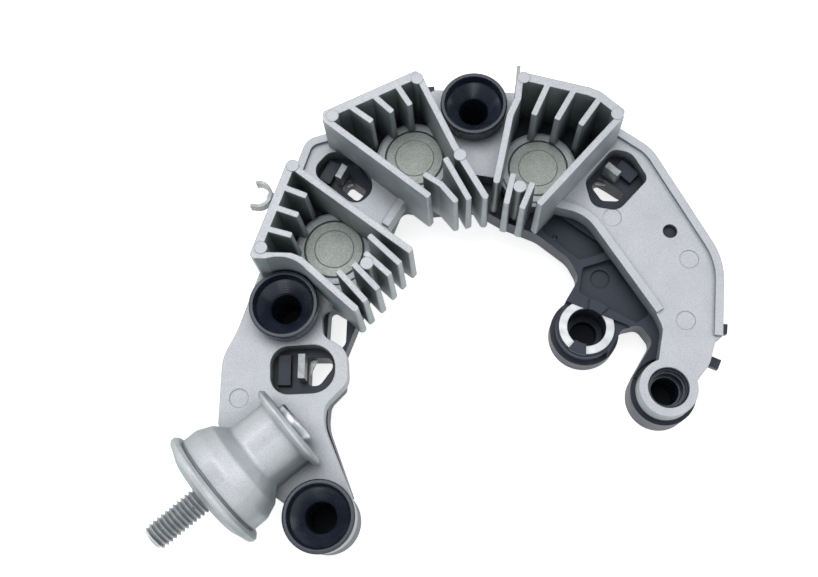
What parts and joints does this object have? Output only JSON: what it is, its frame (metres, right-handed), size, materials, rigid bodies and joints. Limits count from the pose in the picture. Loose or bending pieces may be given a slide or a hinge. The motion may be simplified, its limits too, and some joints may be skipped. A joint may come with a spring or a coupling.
{
  "type": "alternator rectifier",
  "caption": "Finned die-cast horseshoe heat sink of an alternator rectifier, with press-fit diodes, a moulded terminal carrier, bushes and a sideways output stud.",
  "frame": {"origin": "middle of the bounding box, on the plane of the seats under the bracket bolts", "axes": "+Z out of the finned side, along the bracket bolts; +X to the right and +Y up as the picture shows the part"},
  "size_m": [0.1225, 0.1121, 0.0322],
  "materials": {
    "cast_aluminium": "die cast, shot blasted",
    "carrier_plastic": "moulded, dark slate",
    "bush_plastic": "moulded, smooth blue-black",
    "nickel_plate": "dull nickel plate",
    "lead_wire": "tinned copper",
    "diode_resin": "potting resin",
    "tinned_strip": "tin plated",
    "stud_steel": "zinc plated"
  },
  "bodies": {
    "root": {"bush_bottom": "bush_plastic", "bush_corner": "bush_plastic", "bush_left": "bush_plastic", "bush_top": "bush_plastic", "diode_case_u": "nickel_plate", "diode_case_v": "nickel_plate", "diode_case_w": "nickel_plate", "diode_lead_u": "lead_wire", "diode_lead_v": "lead_wire", "diode_lead_w": "lead_wire", "diode_resin_u": "diode_resin", "diode_resin_v": "diode_resin", "diode_resin_w": "diode_resin", "heat_sink": "cast_aluminium", "output_stud": "stud_steel", "phase_terminal_u": "tinned_strip", "phase_terminal_v": "tinned_strip", "phase_terminal_w": "tinned_strip", "regulator_terminal": "tinned_strip", "terminal_carrier": "carrier_plastic"}
  },
  "joints": []
}
